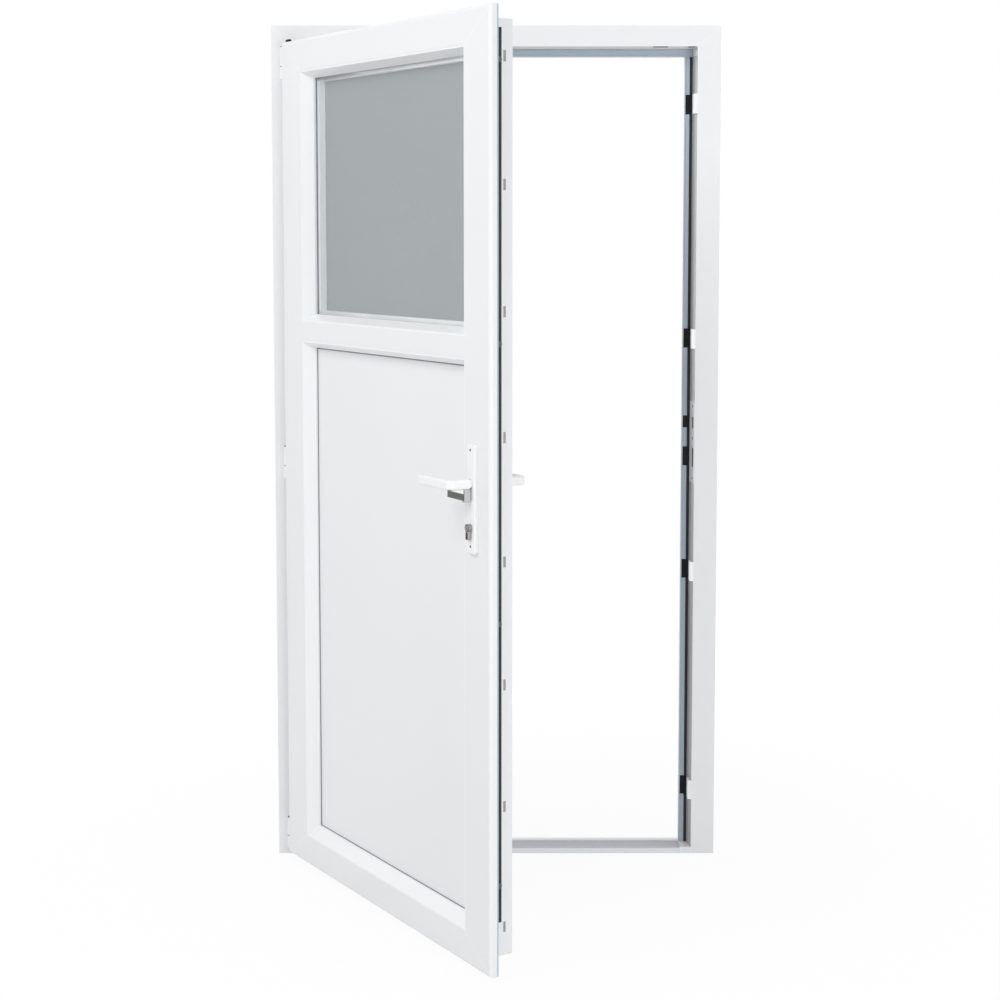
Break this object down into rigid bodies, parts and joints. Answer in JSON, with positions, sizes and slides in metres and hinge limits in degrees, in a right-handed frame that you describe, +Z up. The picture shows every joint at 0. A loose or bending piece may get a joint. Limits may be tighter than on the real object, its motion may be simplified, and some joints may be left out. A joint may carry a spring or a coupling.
{
  "type": "exterior door",
  "caption": "White half-glazed side-entrance door in its frame, leaf hinged on the left and standing open into the room, with lever handles, lock edge and low threshold.",
  "frame": {"origin": "middle of the frame's underside, on the floor, midway between the frame's room face and outside face", "axes": "+X across the doorway towards the lock jamb, +Y from the room to the outside, +Z up"},
  "size_m": [1.1, 0.9681, 2.07],
  "materials": {
    "clear_glass": "clear float glass",
    "cylinder_brass": "nickel plated brass",
    "dark_plastic": "black plastic",
    "frosted_glass": "satin frosted glass",
    "grey_seal": "matt grey rubber",
    "keep_zinc": "bright zinc",
    "lock_steel": "dark plated steel",
    "sill_aluminium": "anodised aluminium",
    "white_bead": "smooth satin white plastic",
    "white_coated_metal": "white powder coat",
    "white_upvc": "smooth satin white plastic"
  },
  "bodies": {
    "frame": {"cam_keeps": "keep_zinc", "corner_seals": "grey_seal", "frame_hinge_bottom": "white_coated_metal", "frame_hinge_middle": "white_coated_metal", "frame_hinge_top": "white_coated_metal", "head": "white_upvc", "hinge_jamb": "white_upvc", "hinge_pins": "lock_steel", "keep_pads": "dark_plastic", "keep_track": "dark_plastic", "lock_jamb": "white_upvc", "lock_keep": "keep_zinc", "stop_seals": "grey_seal", "threshold": "sill_aluminium", "threshold_blocks": "white_upvc", "threshold_stop": "white_upvc"},
    "leaf": {"bottom_rail": "white_upvc", "glass_bead_bottom": "white_bead", "glass_bead_hinge": "white_bead", "glass_bead_lock": "white_bead", "glass_bead_top": "white_bead", "glass_seals": "grey_seal", "glass_spacer": "lock_steel", "hinge_stile": "white_upvc", "inner_pane": "clear_glass", "inside_back_plate": "white_coated_metal", "leaf_hinge_bottom": "white_coated_metal", "leaf_hinge_middle": "white_coated_metal", "leaf_hinge_top": "white_coated_metal", "lip_seal": "grey_seal", "lock_bolts": "lock_steel", "lock_cylinder": "cylinder_brass", "lock_face_plate": "lock_steel", "lock_stile": "white_upvc", "lower_panel": "white_upvc", "mid_rail": "white_upvc", "outer_pane": "frosted_glass", "outside_back_plate": "white_coated_metal", "panel_bead_bottom": "white_bead", "panel_bead_hinge": "white_bead", "panel_bead_lock": "white_bead", "panel_bead_top": "white_bead", "panel_seals": "grey_seal", "top_rail": "white_upvc"},
    "lever": {"inside_lever": "white_coated_metal", "lever_bush": "dark_plastic", "outside_lever": "white_coated_metal", "spindle": "lock_steel"},
    "cams": {"cam_bar": "lock_steel"}
  },
  "joints": [
    {"name": "leaf_swing", "type": "hinge", "parent": "frame", "child": "leaf", "pos_m": [-0.52, -0.045, 1], "axis": [0, 0, -1], "range_deg": [-59.6, 40]},
    {"name": "lever_turn", "type": "hinge", "parent": "leaf", "child": "lever", "pos_m": [-0.04355, -0.88081, 1.05], "axis": [-0.8625, -0.506, 0], "range_deg": [0, 40], "stiffness_Nm_per_rad": 1, "springref_deg": -28.65},
    {"name": "cam_slide", "type": "slide", "parent": "leaf", "child": "cams", "axis": [0, 0, -1], "range_m": [0, 0.032]}
  ]
}
